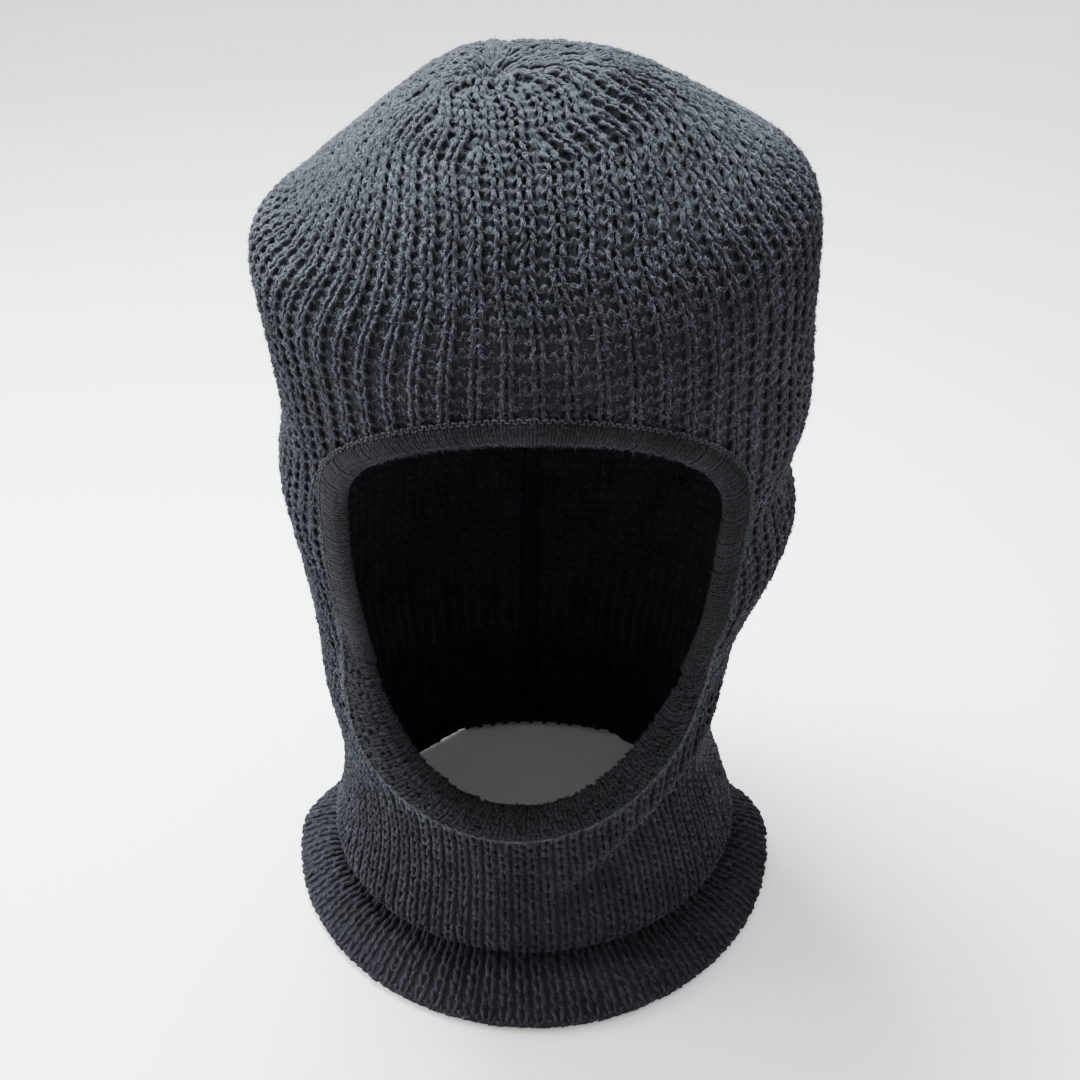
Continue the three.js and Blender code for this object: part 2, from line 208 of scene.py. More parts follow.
def fold(angle, level):
    """How far the neck's slanting fold moves the surface out."""
    round_it = (angle + 1.5 * math.pi) % (2 * math.pi) - math.pi
    along = (round_it - FOLD_FROM) / (FOLD_TO - FOLD_FROM)
    below = (level - FOLD_LOW - (FOLD_HIGH - FOLD_LOW) * along) / FOLD_SPAN
    ridge = FOLD_OUT * np.exp(-((below + FOLD_APART) ** 2) / 2)
    valley = FOLD_IN * np.exp(-((below - FOLD_APART) ** 2) / 2)
    return (ridge - valley) * smooth(along, *FOLD_RISES) * smooth(along, *FOLD_DIES)


def body(angle, level):
    """Points on the outside of the knit. Angle 0 is +X and -90 degrees the face; level counts stations."""
    c, s = np.cos(angle), np.sin(angle)
    right_reach, right_height = outline("right", level)
    left_reach, left_height = outline("left", level)
    front_reach, front_height = outline("front", level)
    back_reach, back_height = outline("back", level)
    side_reach = np.where(c >= 0, right_reach, left_reach)
    side_height = np.where(c >= 0, right_height, left_height)
    fore_reach = np.where(s >= 0, back_reach, front_reach)
    fore_height = np.where(s >= 0, back_height, front_height)
    drift = APEX_SHIFT * np.clip(1 - (right_reach + left_reach) / (2 * SHOULDER), 0, None)
    splayed = smooth(level, AT["crease"], AT["flare"])
    tuck = 1 - BACK_TUCK * splayed * np.sin(2 * angle) ** 2 * (s > 0)
    out = fold(angle, level)
    x = drift + (side_reach * tuck + out) * c
    y = (fore_reach * tuck + out) * s
    return np.stack([x, y, side_height * c**2 + fore_height * s**2], 1)


def body_normal(angle, level):
    """The way out of the surface there."""
    step = 0.02
    level = np.maximum(level, TOP)
    round_it = body(angle + step, level) - body(angle - step, level)
    down = body(angle, level + step) - body(angle, level - step)
    return unit(np.cross(down, round_it))


def find_front(x, z):
    """The angle and level at which the front of the body has that x and z."""
    low_t, high_t = np.full(x.shape, AT["gather"]), np.full(x.shape, AT["bulge"])
    angle = np.full(x.shape, -math.pi / 2)
    for _ in range(ROUNDS):
        a, b = low_t.copy(), high_t.copy()
        for _ in range(HALVINGS):
            level = (a + b) / 2
            above = body(angle, level)[:, 2] > z
            a, b = np.where(above, level, a), np.where(above, b, level)
        low_a, high_a = np.full(x.shape, -math.pi), np.zeros(x.shape)
        for _ in range(HALVINGS):
            angle = (low_a + high_a) / 2
            before = body(angle, level)[:, 0] < x
            low_a, high_a = np.where(before, angle, low_a), np.where(before, high_a, angle)
    return angle, level


def place(points):
    """Drawn millimetres, in the frame's metres."""
    return points * METRES + SHIFT


# ---- courses and ribs ----

def level_table():
    """Fine levels, with the average length of knit above each and the average radius there."""
    fine = np.linspace(TOP, AT["under"], LEVEL_STEPS)
    sides = np.linspace(0, 2 * math.pi, ROUND_STEPS, endpoint=False)
    rings = np.stack([body(np.full(len(fine), side), fine) for side in sides])
    steps = np.linalg.norm(np.diff(rings, axis=1), axis=2).mean(axis=0)
    off_axis = rings - rings.mean(axis=0)
    radius = np.hypot(off_axis[..., 0], off_axis[..., 1]).mean(axis=0)
    return fine, np.concatenate([[0], np.cumsum(steps)]), radius


LEVELS, LENGTHS, RADII = level_table()


def course_levels():
    """The level of each course, from the gathering to where the rim turns under."""
    crown = RADII < SHOULDER / 2
    start = np.interp(GATHER_RADIUS, RADII[crown], LENGTHS[crown])
    end = np.interp(AT["rim"] + RIM_TURN, LEVELS, LENGTHS)
    count = int(round((end - start) / COURSE))
    return np.interp(np.linspace(start, end, count + 1), LENGTHS, LEVELS)


def dying_radius():
    """The radius at which each rib is drawn under its neighbours, so that those left keep their width.

    The order is alike on both sides of the face, well spread, and leans towards keeping the front.
    """
    from_front = np.abs(np.arange(RIBS) + 0.5 - RIBS / 2)
    spread = (from_front * GOLDEN) % 1
    order = np.argsort(np.argsort(FRONT_LASTS * from_front / (RIBS / 2) + (1 - FRONT_LASTS) * spread))
    return CROWN_RADIUS * order / RIBS


def rib_table():
    """The left edge, width and weight of every rib at every fine level, in turns from the back seam."""
    dies_at = dying_radius()
    reached = np.maximum.accumulate(RADII)[:, None]
    weight = smooth(reached, dies_at - DYING_SPAN, dies_at + DYING_SPAN)
    weight = np.where(dies_at < LASTING_RADIUS, 1, weight)
    width = weight / weight.sum(axis=1, keepdims=True)
    return np.cumsum(width, axis=1) - width, width, weight


RIB_LEFT, RIB_WIDTH, RIB_WEIGHT = rib_table()


def look_up(table, rib, level):
    """A rib table's value for each rib at each level."""
    k = np.clip((level - LEVELS[0]) / (LEVELS[1] - LEVELS[0]), 0, len(LEVELS) - 1.001)
    row = k.astype(int)
    return table[row, rib] + (table[row + 1, rib] - table[row, rib]) * (k - row)


def rib_angle(turn, level):
    """The body angle of a turn from the back seam, with ribs wider over the brow than over the ears."""
    from_front = (turn - 0.5) * 2 * math.pi
    stretch = FRONT_STRETCH * (1 - smooth(level, AT["eye"], AT["throat"]))
    stretch = stretch - NECK_DRAW * smooth(level, AT["jaw"], AT["neck"])
    side_draw = SIDE_DRAW * (1 - smooth(level, AT["jaw"], AT["throat"]))
    return -math.pi / 2 + from_front + stretch * np.sin(from_front) + side_draw * np.sin(2 * from_front)


def by_station(level, values):
    """A value that is given at a few stations and runs straight between them."""
    return np.interp(level, [AT[station] for station in values], list(values.values()))


def drawn_in(level):
    """How deep the gathering draws the crown in."""
    return DIMPLE * (1 - smooth(np.interp(level, LEVELS, RADII), *DIMPLE_RADII))


def loop_shape(knit_share, ridge, curl, swing):
    """The yarn of one rib, a knit loop then a purl loop, as (across, up, out) for each rib's knit share.

    across runs from 0 to 1 over the rib and up from -1 to 1. out is in millimetres: ridge is how far
    the knit wales stand in front of the purl wales, and curl how far a loop's legs stand off its head.
    """
    f = np.arange(SAMPLES) / SAMPLES
    is_knit = f < 0.5
    g = np.where(is_knit, f * 2, f * 2 - 1)
    turn = 2 * math.pi * g - math.pi
    swung = g + swing[:, None] * np.sin(2 * turn) * 0.5
    share = knit_share[:, None]
    across = np.where(is_knit, share * swung, share + (1 - share) * swung)
    up = np.broadcast_to(np.cos(turn), across.shape)
    change = smooth(np.minimum(g, 1 - g), 0, CROSSING)
    side = np.where(is_knit, 1, -1)
    head = np.where(is_knit, smooth(np.cos(turn), *KNIT_HEAD), smooth(np.cos(turn), *PURL_HEAD))
    out = side * change * (ridge[:, None] + curl[:, None] * (1 - 2 * head))
    return across, up, out


def wobble(count):
    """Smooth random offsets for points along a yarn."""
    every = 5
    knots = np.arange(0, count + every, every)
    steps = np.arange(count)
    return np.stack([np.interp(steps, knots, RNG.normal(0, WOBBLE, len(knots))) for _ in "xyz"], 1)


def lay_course(level, step, half):
    """The yarn of one whole course: points, surface normals, height off the knit's middle and radius."""
    widths = look_up(RIB_WIDTH, np.arange(RIBS), np.full(RIBS, level))
    ribs = np.flatnonzero(widths > NARROWEST / RIBS)
    count = len(ribs)
    pitch = widths[ribs] * 2 * math.pi * np.interp(level, LEVELS, RADII)
    share = np.clip(by_station(level, KNIT_WALE) / np.maximum(pitch, 0.1), *KNIT_SHARE)
    closed = smooth(share, *CLOSING)
    swing = LOOP_SWING + (NECK_SWING - LOOP_SWING) * closed
    ridge = by_station(level, RIDGE) + CLOSED_RIDGE * closed
    across, up, out = loop_shape(share, ridge, CURL - CURL_LOST * closed, swing)
    up = up * (1 + RNG.normal(0, UNEVEN_LOOP, (count, 1))) + RNG.normal(0, UNEVEN_LOOP, (count, 1))
    out = np.maximum(out - BETWEEN_WALES * closed[:, None] * (1 - smooth(out, 0, WALE_SIDE)), DEEPEST)
    out = out * by_station(level, RELIEF)
    rib = np.repeat(ribs, SAMPLES)
    levels = np.clip(level - up.ravel() * half / COURSE * step, TOP, AT["under"])
    turn = look_up(RIB_LEFT, rib, levels) + look_up(RIB_WIDTH, rib, levels) * across.ravel()
    sunk = UNDER * (1 - look_up(RIB_WEIGHT, rib, levels))
    lift = out.ravel() + np.repeat(RNG.normal(0, UNEVEN_LIFT, count), SAMPLES)
    radius = np.repeat(HOOD_RADIUS + (NECK_RADIUS - HOOD_RADIUS) * closed, SAMPLES)
    angle = rib_angle(turn, levels)
    normals = body_normal(angle, levels)
    points = body(angle, levels) + normals * (lift - MIDDLE - sunk - drawn_in(levels))[:, None]
    points += wobble(len(points))
    points[:, 2] = np.maximum(points[:, 2], radius * (1 + PLY_LOBE))  # none goes into the floor
    return points, normals, lift, radius


# ---- the face opening ----

def opening(turn, grow):
    """x and z of the opening's edge, or of a line that far outside it."""
    c, s = np.cos(turn), np.sin(turn)
    reach = (np.abs(c) ** OPEN_ROUND + np.abs(s) ** OPEN_ROUND) ** (-1 / OPEN_ROUND)
    tall = np.where(s > 0, OPEN_UP, OPEN_DOWN) + grow
    x = OPEN_X + (OPEN_HALF + grow) * reach * c
    z = OPEN_Z + tall * reach * s
    return x + CHIN_SHIFT * (np.clip(OPEN_Z - z, 0, None) / OPEN_DOWN) ** CHIN_CURVE, z


def in_opening(points, grow):
    x, z = points[:, 0], points[:, 2]
    sunk = np.clip(OPEN_Z - z, 0, None) / OPEN_DOWN
    wide = np.abs(x - OPEN_X - CHIN_SHIFT * sunk**CHIN_CURVE) / (OPEN_HALF + grow)
    tall = np.abs(z - OPEN_Z) / (np.where(z > OPEN_Z, OPEN_UP, OPEN_DOWN) + grow)
    return (wide**OPEN_ROUND + tall**OPEN_ROUND < 1) & (points[:, 1] < 0)


# ---- meshes ----

def sweep(path, normal, radius, sides=SIDES, lobe=0.0, twist=PLY_TWIST):
    """Closed tubes along paths of shape (tubes, points, 3). Returns vertices, quads and (u, v).

    lobe makes two plies of a round tube, and they turn once in a length of twist. u is the length along
    the tube in millimetres, and v goes round it from 0 to 1.
    """
    tubes, count = path.shape[:2]
    tangent = unit(np.gradient(path, axis=1))
    across = unit(np.cross(tangent, normal))
    lift = np.cross(across, tangent)
    length = np.zeros((tubes, count))
    length[:, 1:] = np.cumsum(np.linalg.norm(np.diff(path, axis=1), axis=2), axis=1)
    around = np.arange(sides) * 2 * math.pi / sides
    angle = around + (length * 2 * math.pi / twist)[..., None]
    ring = across[:, :, None] * np.cos(angle)[..., None] + lift[:, :, None] * np.sin(angle)[..., None]
    reach = np.broadcast_to(radius, (tubes, count))[..., None] * (1 + lobe * np.cos(2 * around))
    verts = path[:, :, None] + ring * reach[..., None]
    index = np.arange(tubes * count * sides).reshape(tubes, count, sides)
    faces = np.concatenate([wall_quads(index), cap(index[:, 0], True), cap(index[:, -1], False)])
    u = np.broadcast_to(length[:, :, None], (tubes, count, sides))
    v = np.broadcast_to(np.arange(sides) / sides, (tubes, count, sides))
    return verts.reshape(-1, 3), faces, np.stack([u, v], -1).reshape(-1, 2)


def wall_quads(index):
    """The quads of a tube's wall, from its rings of vertices."""
    turned = np.roll(index, -1, axis=2)
    quads = [index[:, :-1], turned[:, :-1], turned[:, 1:], index[:, 1:]]
    return np.stack(quads, -1).reshape(-1, 4)


def cap(ring, flip):
    """Closes the end of a tube of an even number of sides with quads."""
    sides = ring.shape[1]
    quads = []
    for k in range(sides // 2 - 1):
        quad = [k, k + 1, sides - 2 - k, sides - 1 - k]
        quads.append(ring[:, quad[::-1] if flip else quad])
    return np.concatenate(quads)


def skin(rings):
    """A closed body from rings of shape (rings, points, 3), capped at both ends."""
    index = np.arange(rings.shape[0] * rings.shape[1]).reshape(1, rings.shape[0], rings.shape[1])
    faces = np.concatenate([wall_quads(index), cap(index[:, 0], True), cap(index[:, -1], False)])
    u, v = np.meshgrid(np.arange(rings.shape[0]), np.arange(rings.shape[1]), indexing="ij")
    return rings.reshape(-1, 3), faces, np.stack([u, v], -1).reshape(-1, 2) * 1.0


def mesh_object(name, parts, material, node=None):
    """One object from (vertices, faces, uv) parts, in the frame's metres."""
    verts, faces, uvs, offset = [], [], [], 0
    for v, f, uv in parts:
        verts.append(v)
        faces.append(f + offset)
        uvs.append(uv)
        offset += len(v)
    verts, faces, uvs = np.concatenate(verts), np.concatenate(faces), np.concatenate(uvs)
    mesh = bpy.data.meshes.new(name)
    corners = faces.shape[1]
    mesh.vertices.add(len(verts))
    mesh.vertices.foreach_set("co", place(verts).ravel())
    mesh.loops.add(faces.size)
    mesh.loops.foreach_set("vertex_index", faces.ravel())
    mesh.polygons.add(len(faces))
    mesh.polygons.foreach_set("loop_start", np.arange(0, faces.size, corners))
    mesh.polygons.foreach_set("use_smooth", np.ones(len(faces), bool))
    layer = mesh.uv_layers.new(name="yarn")
    layer.data.foreach_set("uv", uvs[faces.ravel()].ravel())
    mesh.update()
    mesh.validate()
    mesh.materials.append(material)
    obj = bpy.data.objects.new(name, mesh)
    bpy.context.scene.collection.objects.link(obj)
    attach(obj, "root")
    if node:
        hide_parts(node)
    return obj


# ---- materials ----

DYE_SCALE = 70.0  # patches of dye to a metre


def add_node(tree, kind, inputs):
    node = tree.nodes.new("ShaderNode" + kind)
    for name, value in inputs.items():
        node.inputs[name].default_value = value
    return node


def yarn_material(name, color, sheen, contrast=1.0):
    """Spun acrylic: fine fibres lying along the plies, drawn as random streaks whose paler parts are painted
    highlights of light caught by the fibres, and an uneven black dye.
    """
    mat = bpy.data.materials.new(name)
    mat.use_nodes = True
    tree = mat.node_tree
    surface = tree.nodes["Principled BSDF"]
    surface.inputs["Roughness"].default_value = 0.85
    surface.inputs["Specular IOR Level"].default_value = 0.07
    surface.inputs["Sheen Weight"].default_value = sheen
    surface.inputs["Sheen Roughness"].default_value = 0.5
    surface.inputs["Sheen Tint"].default_value = (0.8, 0.92, 1.0, 1.0)
    coords = tree.nodes.new("ShaderNodeTexCoord")
    along = add_node(tree, "Mapping", {"Scale": (0.45, 8.0, 1.0)})
    fibre = add_node(tree, "TexNoise", {"Scale": 1.0, "Detail": 3.0, "Roughness": 0.65})
    bump = add_node(tree, "Bump", {"Strength": 0.9, "Distance": 0.0003})
    # Streaks along the plies, random in place; the paler ones brighten the colour as painted highlights of
    # the fibres.
    tones = {"To Min": 1 - 0.4 * contrast, "To Max": 1 + 1.5 * contrast}
    glint_streaks = add_node(tree, "MapRange", {"From Min": 0.4, "From Max": 0.72} | tones)
    dye = add_node(tree, "TexNoise", {"Scale": DYE_SCALE, "Detail": 5.0})
    uneven = add_node(tree, "MapRange", {"From Min": 0.35, "From Max": 0.65, "To Min": 0.8, "To Max": 1.25})
    both = tree.nodes.new("ShaderNodeMath")
    both.operation = "MULTIPLY"
    tint = add_node(tree, "Mix", {0: 1.0, 6: (*color, 1.0)})  # input 6 is the first colour, 7 the second
    tint.data_type = "RGBA"
    tint.blend_type = "MULTIPLY"
    tree.links.new(coords.outputs["UV"], along.inputs["Vector"])
    tree.links.new(along.outputs["Vector"], fibre.inputs["Vector"])
    tree.links.new(coords.outputs["Object"], dye.inputs["Vector"])
    tree.links.new(fibre.outputs["Fac"], bump.inputs["Height"])
    tree.links.new(bump.outputs["Normal"], surface.inputs["Normal"])
    tree.links.new(fibre.outputs["Fac"], glint_streaks.inputs["Value"])
    tree.links.new(dye.outputs["Fac"], uneven.inputs["Value"])
    tree.links.new(glint_streaks.outputs["Result"], both.inputs[0])
    tree.links.new(uneven.outputs["Result"], both.inputs[1])
    tree.links.new(both.outputs[0], tint.inputs[7])
    tree.links.new(tint.outputs[2], surface.inputs["Base Color"])
    return mat


# ---- the knitted tube ----

BAND_WIDTH = 7.0  # overlocked band over the brow and down the cheeks
STOP_AT_BAND = BAND_WIDTH - 1.5  # the knit stops this far outside the opening's edge, under the band,
STOP_AT_FOLD = 1.5  # and this far outside it at the fold under the chin
STOP_BLEND = 12  # height over which the one goes over into the other
FUZZ_BELOW = 0.03  # the hood's fuzz thins out to this share towards the throat
FUZZ_LOWEST = -0.35  # fibres lie on yarn that is above this height off the knit's middle
PIECE_TRIANGLES = 165000  # a piece is closed once it has this many
# The tube's zones, each down to a level, and the CAD node and material slot that each stands for.
ZONES = (
    ("crown_knit", AT["ear"], "rib_knit_hood"),
    ("hood_knit", AT["throat"], "rib_knit_hood"),
    ("neck_rib", AT["crease"] - 0.12, "rib_knit_neck"),
    ("hem_flare", AT["rim"] - 0.4, "rib_knit_neck"),
    ("hem_start_edge", AT["under"], "rib_knit_neck"),
)


def cut_at_opening(points):
    """Which points of the knit stay: it stops under the band, and at the fold under the chin."""
    at_band = smooth(points[:, 2], ROLL_TOP - STOP_BLEND, ROLL_TOP)
    return ~in_opening(points, STOP_AT_FOLD + (STOP_AT_BAND - STOP_AT_FOLD) * at_band)


def runs(mask, shortest=5):
    """(start, stop) of each run of true values."""
    edges = np.flatnonzero(np.diff(np.concatenate([[False], mask, [False]]).astype(int)))
    return [(a, b) for a, b in zip(edges[::2], edges[1::2]) if b - a >= shortest]


def knit_tube(materials, seats):
    """The whole tube, as pieces of a few courses. Fills seats with where fibres can stand in each zone."""
    levels = course_levels()
    steps = np.gradient(levels)
    levels = np.concatenate([levels, levels[-1] + steps[-1] * START_ROWS])
    steps = np.concatenate([steps, np.full(len(START_ROWS), steps[-1])])
    objects = []
    top = 0.0
    for node, bottom, slot in ZONES:
        parts, triangles, seats[node] = [], 0, []
        inside = (levels > top) & (levels <= bottom)
        for level, step in zip(levels[inside], steps[inside]):
            if triangles > PIECE_TRIANGLES:
                name = f"{node}_yarn_{len(objects) + 1}"
                objects.append(mesh_object(name, parts, materials[slot], node))
                parts, triangles = [], 0
            half = LOOP_HALF if level < AT["rim"] else START_HALF
            points, normals, lift, radius = lay_course(level, step, half)
            keep = cut_at_opening(points)
            for a, b in runs(keep):
                parts.append(sweep(points[None, a:b], normals[None, a:b], radius[a:b], lobe=PLY_LOBE))
                triangles += (b - a) * SIDES * 2
            fuzzy = FUZZ_BELOW + (1 - FUZZ_BELOW) * (1 - smooth(level, AT["temple"], AT["throat"]))
            front = keep & (lift > FUZZ_LOWEST) & (RNG.random(len(points)) < fuzzy)
            seats[node].append((points[front], np.gradient(points, axis=0)[front], normals[front]))
        name = f"{node}_yarn_{len(objects) + 1}"
        objects.append(mesh_object(name, parts, materials[slot], node))
        top = bottom
    return objects


def ground(material):
    """The body of the fabric between the yarns, as one closed skin in the middle of the knit."""
    around, down = GROUND_STEPS
    angle = np.linspace(0, 2 * math.pi, around, endpoint=False)
    level = np.linspace(GROUND_FROM, AT["rim"] - GROUND_SHORT, down)
    grid_level, grid_angle = (grid.ravel() for grid in np.meshgrid(level, angle, indexing="ij"))
    middle = body(grid_angle, grid_level)
    normal = body_normal(grid_angle, grid_level)
    depth = MIDDLE + drawn_in(grid_level)
    outer = middle - normal * (depth + by_station(grid_level, GROUND_OUTSIDE))[:, None]
    inner = middle - normal * (depth + by_station(grid_level, GROUND_INSIDE))[:, None]
    index = np.arange(around * down).reshape(down, around)
    turned = np.roll(index, -1, 1)
    quads = np.stack([index[:-1], turned[:-1], turned[1:], index[1:]], -1).reshape(-1, 4)
    quads = quads[cut_at_opening(outer[quads].mean(axis=1))]
    edges = np.concatenate([quads[:, [k, (k + 1) % 4]] for k in range(4)]).tolist()
    both_ways = {tuple(edge) for edge in edges}
    rim = np.array([edge for edge in edges if (edge[1], edge[0]) not in both_ways])
    count = around * down
    walls = np.stack([rim[:, 1], rim[:, 0], rim[:, 0] + count, rim[:, 1] + count], -1)
    faces = np.concatenate([quads, quads[:, ::-1] + count, walls])
    used, faces = np.unique(faces, return_inverse=True)
    verts = np.concatenate([outer, inner])[used]
    return mesh_object("knit_ground", [(verts, faces.reshape(-1, 4), verts[:, :2])], material, None)


# ---- the finished edge of the opening ----

EDGE_STEPS = 480
EDGE_INSIDE, EDGE_OUTSIDE = -2, 24  # millimetres outside the opening that the table covers


def edge_table():
    """Points and normals of the knit's outside near the opening, by turn and distance outside it."""
    turns = np.linspace(0, 2 * math.pi, EDGE_STEPS + 1)
    grows = np.arange(EDGE_INSIDE, EDGE_OUTSIDE + 1.0)
    turn, grow = (grid.ravel() for grid in np.meshgrid(turns, grows, indexing="ij"))
    angle, level = find_front(*opening(turn, grow))
    both = np.concatenate([body(angle, level), body_normal(angle, level)], axis=1)
    return both.reshape(len(turns), len(grows), 6)


EDGE = edge_table()


def edge_path(turn, grow, lift):
    """Points a distance outside the opening's edge and off the surface, with the surface's normals."""
    t = (turn % (2 * math.pi)) / (2 * math.pi) * EDGE_STEPS
    g = np.clip(grow - EDGE_INSIDE, 0, EDGE_OUTSIDE - EDGE_INSIDE - 0.001)
    i, j = t.astype(int), g.astype(int)
    ft, fg = (t - i)[:, None], (g - j)[:, None]
    near = EDGE[i, j] * (1 - fg) + EDGE[i, j + 1] * fg
    far = EDGE[i + 1, j] * (1 - fg) + EDGE[i + 1, j + 1] * fg
    both = near * (1 - ft) + far * ft
    normals = unit(both[:, 3:])
    return both[:, :3] + normals * np.asarray(lift)[..., None], normals


def even_turns(first, last, spacing, grow=0.0):
    """Turns of the opening's edge an even distance apart."""
    fine = np.linspace(first, last, 400)
    points, _ = edge_path(fine, np.full(fine.shape, grow), np.zeros(fine.shape))
    length = np.concatenate([[0], np.cumsum(np.linalg.norm(np.diff(points, axis=0), axis=1))])
    count = int(round(length[-1] / spacing))
    return np.interp(np.linspace(0, length[-1], count + 1), length, fine)


def turn_at(height, low, high):
    """The turn between low and high at which the opening's edge passes a height."""
    for _ in range(EDGE_HALVINGS):
        middle = (low + high) / 2
        below = opening(np.array([middle]), 0.0)[1][0] < height
        low, high = (middle, high) if below else (low, middle)
    return (low + high) / 2


SPLIT_RIGHT = turn_at(ROLL_TOP, -math.pi / 2, 0.0)
SPLIT_LEFT = turn_at(ROLL_TOP, 1.5 * math.pi, math.pi)

STITCH_PITCH, STITCH_RADIUS, STITCH_SAMPLES = 0.95, 0.47, 18
STITCH_UNEVEN = 0.14  # how far the band's stitches stand in front of or behind each other
OUTSIDE_SAMPLES = 8  # those of a stitch that lie on the outside, where fibres can stand
BAND_CORE = 0.93  # size of the band's core, as a share of the stitches round it
CORE_EVERY = 4  # stitches from one ring of the core to the next
BAND_PAST = 0.06  # how far the band runs on under the lip, as a turn
CHAIN_PITCH, CHAIN_SWING, CHAIN_LIFT, CHAIN_RADIUS = 2.3, 0.5, 0.35, 0.27
CHAIN_PULL, CHAIN_UNEVEN, CHAIN_ROLL = 0.16, 0.25, 0.3  # how a chain's line bunches, varies and rises
CHAIN_OUT = 6.9  # the band's chain is spaced evenly this far outside the edge
CHAIN_SAMPLES = 12

# The band's section: distance outside the edge, and height off the surface, from the outer border
# round the edge to the inside.
BAND_SECTION = ((6.7, -0.9), (5.6, 0.4), (3.5, 0.9), (1.4, 0.5), (0.1, -0.5), (-0.3, -1.7), (0.1, -2.9),
                (1.4, -3.8), (3.6, -4.1), (5.6, -3.9), (6.6, -3.2))


def face_band(material, thread):
    """Overlock stitches wrapped closely round the knit's edge, on a core, and the chain beside them."""
    turns = even_turns(SPLIT_RIGHT - BAND_PAST, SPLIT_LEFT + BAND_PAST, STITCH_PITCH)
    section = spline(BAND_SECTION, np.linspace(0, len(BAND_SECTION) - 1, STITCH_SAMPLES))
    turn = np.repeat(turns, STITCH_SAMPLES)
    path, _ = edge_path(turn, np.tile(section[:, 0], len(turns)), np.tile(section[:, 1], len(turns)))
    path = path.reshape(-1, STITCH_SAMPLES, 3)
    middle = path.mean(axis=1, keepdims=True)
    outward = path - middle
    core = middle + outward * BAND_CORE
    stitches = path + unit(outward) * RNG.normal(0, STITCH_UNEVEN, len(turns))[:, None, None]
    parts = [sweep(stitches, unit(outward), STITCH_RADIUS), skin(core[::CORE_EVERY])]
    band = mesh_object("face_band_stitches", parts, material, "face_band")
    outside = (path, np.gradient(path, axis=1), unit(outward))
    seats = [tuple(part[:, :OUTSIDE_SAMPLES].reshape(-1, 3) for part in outside)]
    border = even_turns(turns[0], turns[-1], CHAIN_PITCH, CHAIN_OUT)
    turn, swing, lift = chain_line(border, CHAIN_SWING)
    points, normals = edge_path(turn, BAND_WIDTH + swing, CHAIN_LIFT + lift)
    parts = [sweep(points[None], normals[None], CHAIN_RADIUS)]
    chain = mesh_object("face_band_chain", parts, thread, "face_band_stitching")
    return [band, chain], seats


def chain_line(turns, swing):
    """A row of chain stitches, one between each two turns, as (turn, swing across, lift)."""
    count = len(turns) - 1
    tau = np.arange(count * CHAIN_SAMPLES + 1) / CHAIN_SAMPLES * 2 * math.pi
    progress = tau / (2 * math.pi) + CHAIN_PULL * np.sin(2 * tau)
    uneven = np.repeat(1 + RNG.normal(0, CHAIN_UNEVEN, count + 1), CHAIN_SAMPLES)[: len(tau)]
    turn = np.interp(progress, np.arange(count + 1), turns)
    return turn, swing * uneven * np.cos(tau), CHAIN_ROLL * swing * np.cos(2 * tau)


# ---- the turned-out lip ----

# The lip's section: from the fold at the opening's edge over to its free border.
ROLL_SECTION = ((1.4, -3.2), (-0.7, -1.0), (0.1, 1.9), (3.0, 4.2), (7.0, 5.2), (11.5, 4.9), (15.3, 3.2))
ROLL_STEPS = np.linalg.norm(np.diff(ROLL_SECTION, axis=0), axis=1)
ROLL_LENGTH = np.concatenate([[0], np.cumsum(ROLL_STEPS)])
ROLL_PITCH = 4.4  # one rib of the lip, measured in the middle of its width, which is
ROLL_MIDDLE = 6.0  # this far outside the opening's edge
ROLL_ROWS = 8
ROLL_MARGIN = 1.4  # the first and last rows lie this far from the ends of its section
ROLL_LOOP = 0.85  # half the height of its loops, as a share of the way from row to row
ROLL_RADIUS = 0.62
ROLL_SHARE, ROLL_RIDGE, ROLL_CURL = 0.62, 0.2, 0.6  # its knit share, ridge and curl, as in loop_shape
ROLL_UNEVEN = 0.25  # how far its yarn stands off or sinks, anew for each quarter of a rib
ROLL_WOBBLE = 1.6  # how much further than the knit's its yarn strays
ROLL_FLAT, ROLL_FLAT_OVER = 0.4, (4, 8)  # share of relief left over the fold, and where the rest returns
ROLL_EDGE = 0.25  # its yarn keeps this far from both edges
ROLL_DEPTH = 1.1  # depth of the yarn's middle below the lip's outside
ROLL_WIDER, ROLL_WIDEST_AT = 0.28, -2.35  # the lip is this much wider at its widest, and the turn there
WIDER_OVER = 0.5  # how far either way that reaches, as a turn
ENDS_RISE = 10  # the lip begins to grow this far above ROLL_TOP
ENDS_WIDTH, ENDS_LIFT, ENDS_SUNK = 0.42, 0.25, 1.0  # its shares of width and height there, and its depth
LIP_PAST = 0.1  # how far the lip runs on beyond the split, as a turn
STRIP_STEPS = 90, 12  # of the ground inside the lip, along it and across it
STRIP_OUTSIDE, STRIP_INSIDE = 1.25, 1.6  # the depths of its two faces
STRIP_FROM, STRIP_SHORT = 0.3, 0.6  # where it starts from the fold, and how far short of the border it ends
BORDER_PITCH, BORDER_SWING, BORDER_RADIUS = 3.2, 1.4, 0.55  # the looped thread on the lip's border
BORDER_OUT, BORDER_BACK, BORDER_LIFT = 15.0, 1.3, 0.1  # its place outside the edge and on the lip


def roll_surface(turn, along):
    """Points of the lip's outside, by turn and distance along its section. It tapers in at both ends."""
    full = smooth(opening(turn, 0.0)[1], ROLL_TOP + ENDS_RISE, ROLL_FULL)
    section = spline(ROLL_SECTION, np.interp(along, ROLL_LENGTH, np.arange(len(ROLL_LENGTH))))
    wider = 1 + ROLL_WIDER * np.exp(-(((turn - ROLL_WIDEST_AT) / WIDER_OVER) ** 2))
    away = section[:, 0] * (ENDS_WIDTH + (1 - ENDS_WIDTH) * full) * wider
    lift = section[:, 1] * (ENDS_LIFT + (1 - ENDS_LIFT) * full) - ENDS_SUNK * (1 - full)
    return edge_path(turn, away, lift)[0]


